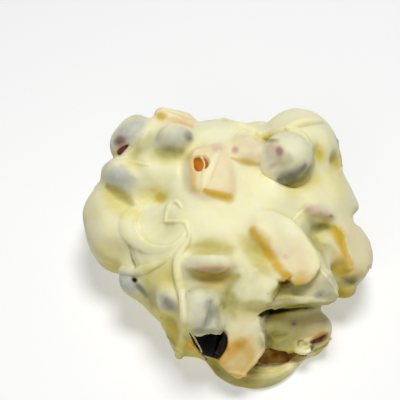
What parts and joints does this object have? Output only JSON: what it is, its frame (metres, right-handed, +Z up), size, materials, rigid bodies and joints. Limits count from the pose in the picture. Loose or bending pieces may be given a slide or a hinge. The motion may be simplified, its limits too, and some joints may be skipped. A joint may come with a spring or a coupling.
{
  "type": "white chocolate and dried fruit cluster",
  "caption": "Lumpy spooned cluster of white chocolate with raisins, cranberries and papaya pieces set in it, flat underneath.",
  "frame": {"origin": "on the flat underside, below the middle of the heap", "axes": "+Z up; -Y is the side with the bare raisin and the upright papaya slab; +X to the right seen from there"},
  "size_m": [0.0737, 0.0705, 0.0384],
  "materials": {
    "white_chocolate": "set white chocolate, softly glossy and slightly translucent",
    "raisin": "wrinkled dark dried fruit skin, glossy where bare",
    "cranberry": "wrinkled dark red dried fruit skin",
    "coated_berry": "dried berry under a thin film of chocolate",
    "papaya": "translucent candied fruit",
    "dark_papaya": "translucent dark amber dried fruit"
  },
  "bodies": {
    "root": {"white_chocolate": "white_chocolate", "raisin_front": "raisin", "raisin_back": "raisin", "cranberry_left": "cranberry", "cranberry_back": "cranberry", "berry_right": "coated_berry", "papaya_top": "papaya", "papaya_pink": "papaya", "papaya_front": "papaya", "papaya_right": "papaya", "papaya_low": "dark_papaya", "slice_back": "papaya", "strip_right": "papaya"}
  },
  "joints": []
}
